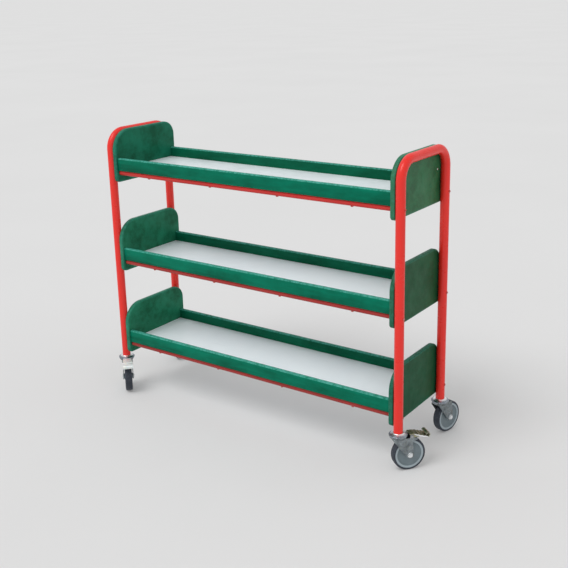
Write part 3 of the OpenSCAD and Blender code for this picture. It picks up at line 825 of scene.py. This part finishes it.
def pedal(corner):
    """A pressed brake pedal: ridged foot plate with a rolled tip, two flanges and the pad."""
    place = caster_place(corner)
    line = pedal_line()
    bm = bmesh.new()
    layer = wear_and_highlight_layer(bm)
    rings = []
    for i, (x, z, half_w, edge) in enumerate(line):
        before = line[max(i - 1, 0)]
        after = line[min(i + 1, len(line) - 1)]
        along = Vector((after[0] - before[0], 0, after[1] - before[1])).normalized()
        normal = Vector((-along.z, 0, along.x))
        rings.append([place @ (Vector((x, y, z)) + normal * n) for y, n in pedal_section(half_w, edge)])
    for row, (_, _, _, edge) in zip(loft(bm, rings), line):
        # The turned-down edges are marked bright: rubbed wear and painted highlight.
        for vert in row[1:4] + row[-4:-1]:
            vert[layer] = 1 if edge > PEDAL_T else 0.2

    flange = [(PIN_X - 5, PIN_Z + 5), (PIN_X - 5, PIN_Z - 2), (PIN_X - 2, PIN_Z - 5)]
    flange += [(PIN_X + 26, PIN_Z - 4), (PIN_X + 27, PIN_Z - 1), (PIN_X + 20, PIN_Z + 1.5)]
    flange += [(PIN_X + 8, PIN_Z + 5.4)]
    flange_y = LEG_INNER_Y - 0.4
    for y in (-flange_y, flange_y - FLANGE_T):
        prism(bm, flange, lambda u, v, w, y=y: place @ Vector((u, y + w, v)), FLANGE_T)
    pad = [(PIN_X + 8, PIN_Z - 7), (PIN_X + 8.6, PIN_Z - 7.3), (PIN_X + 12.4, PIN_Z - 7.3)]
    pad += [(PIN_X + 13, PIN_Z - 7), (PIN_X + 13, PIN_Z + 4), (PIN_X + 8, PIN_Z + 5)]
    prism(bm, pad, lambda u, v, w: place @ Vector((u, w - PAD_HALF_W, v)), 2 * PAD_HALF_W)
    nodes = ["brake_pedal_" + corner]
    add_piece("foot_pedal_" + corner, bm, PEDAL_REFLECTION_COPIES[corner], "pedal_" + corner, nodes)


# ---------- Stage ----------

def stage():
    """A pale floor that reaches past the top of the picture."""
    bm = bmesh.new()
    signs = [(-1, -1), (1, -1), (1, 1), (-1, 1)]
    bm.faces.new([bm.verts.new((x * FLOOR_REACH, y * FLOOR_REACH, 0)) for x, y in signs])
    mesh = bpy.data.meshes.new("floor")
    bm.to_mesh(mesh)
    bm.free()
    floor = bpy.data.objects.new("floor", mesh)
    bpy.context.scene.collection.objects.link(floor)
    s = Shader("pale_floor", roughness=0.9, values={"Specular IOR Level": 0.0})
    s.colour(s.blend(s.spread(s.noise(0.6, 3), 0.3, 0.7), *FLOOR_GREYS))
    s.surface.inputs["Emission Color"].default_value = (1, 1, 1, 1)
    s.surface.inputs["Emission Strength"].default_value = FLOOR_GLOW
    mesh.materials.append(s.material)


def lights():
    """An even white surround and one broad, soft light from the front left."""
    world = bpy.data.worlds.new("studio")
    bpy.context.scene.world = world
    world.use_nodes = True
    surround = world.node_tree.nodes["Background"]
    surround.inputs["Color"].default_value = (1, 1, 1, 1)
    surround.inputs["Strength"].default_value = SURROUND_STRENGTH
    light = bpy.data.lights.new("key", "SUN")
    light.energy = KEY_STRENGTH
    light.angle = KEY_SPREAD
    key = bpy.data.objects.new("key", light)
    key.rotation_euler = KEY_DIRECTION.to_track_quat("-Z", "Y").to_euler()
    bpy.context.scene.collection.objects.link(key)


def camera():
    """The photograph's camera, set by its place, azimuth, elevation and roll."""
    data = bpy.data.cameras.new("camera")
    data.lens = CAMERA_LENS
    data.sensor_width = 36
    data.shift_x, data.shift_y = CAMERA_SHIFT
    data.clip_end = 1000
    a, e, r = CAMERA_AZIMUTH, CAMERA_ELEVATION, CAMERA_ROLL
    forward = Vector((-math.sin(a) * math.cos(e), math.cos(a) * math.cos(e), -math.sin(e)))
    right = Vector((math.cos(a), math.sin(a), 0))
    up = right.cross(forward)
    rolled_right = right * math.cos(r) + up * math.sin(r)
    rolled_up = up * math.cos(r) - right * math.sin(r)
    turn = Matrix((rolled_right, rolled_up, -forward)).transposed()
    eye = bpy.data.objects.new("camera", data)
    eye.matrix_world = Matrix.Translation(CAMERA_PLACE) @ turn.to_4x4()
    bpy.context.scene.collection.objects.link(eye)
    bpy.context.scene.camera = eye


camera()
lights()
stage()
finish_nodes()
for level in LEVELS:
    for side in SIDES:
        end_board(level, side)
    for depth in FRONTS:
        lip(level, depth)
fixings()
swivel_heads()
forks()
for corner in CORNERS:
    axle_line = caster_place(corner) @ ALONG_AXLE
    wheel_disc(corner, axle_line)
    tyre(corner, axle_line)
    axle(corner, axle_line)
for corner in BRAKED:
    pedal(corner)

bpy.context.scene.view_settings.view_transform = "Standard"
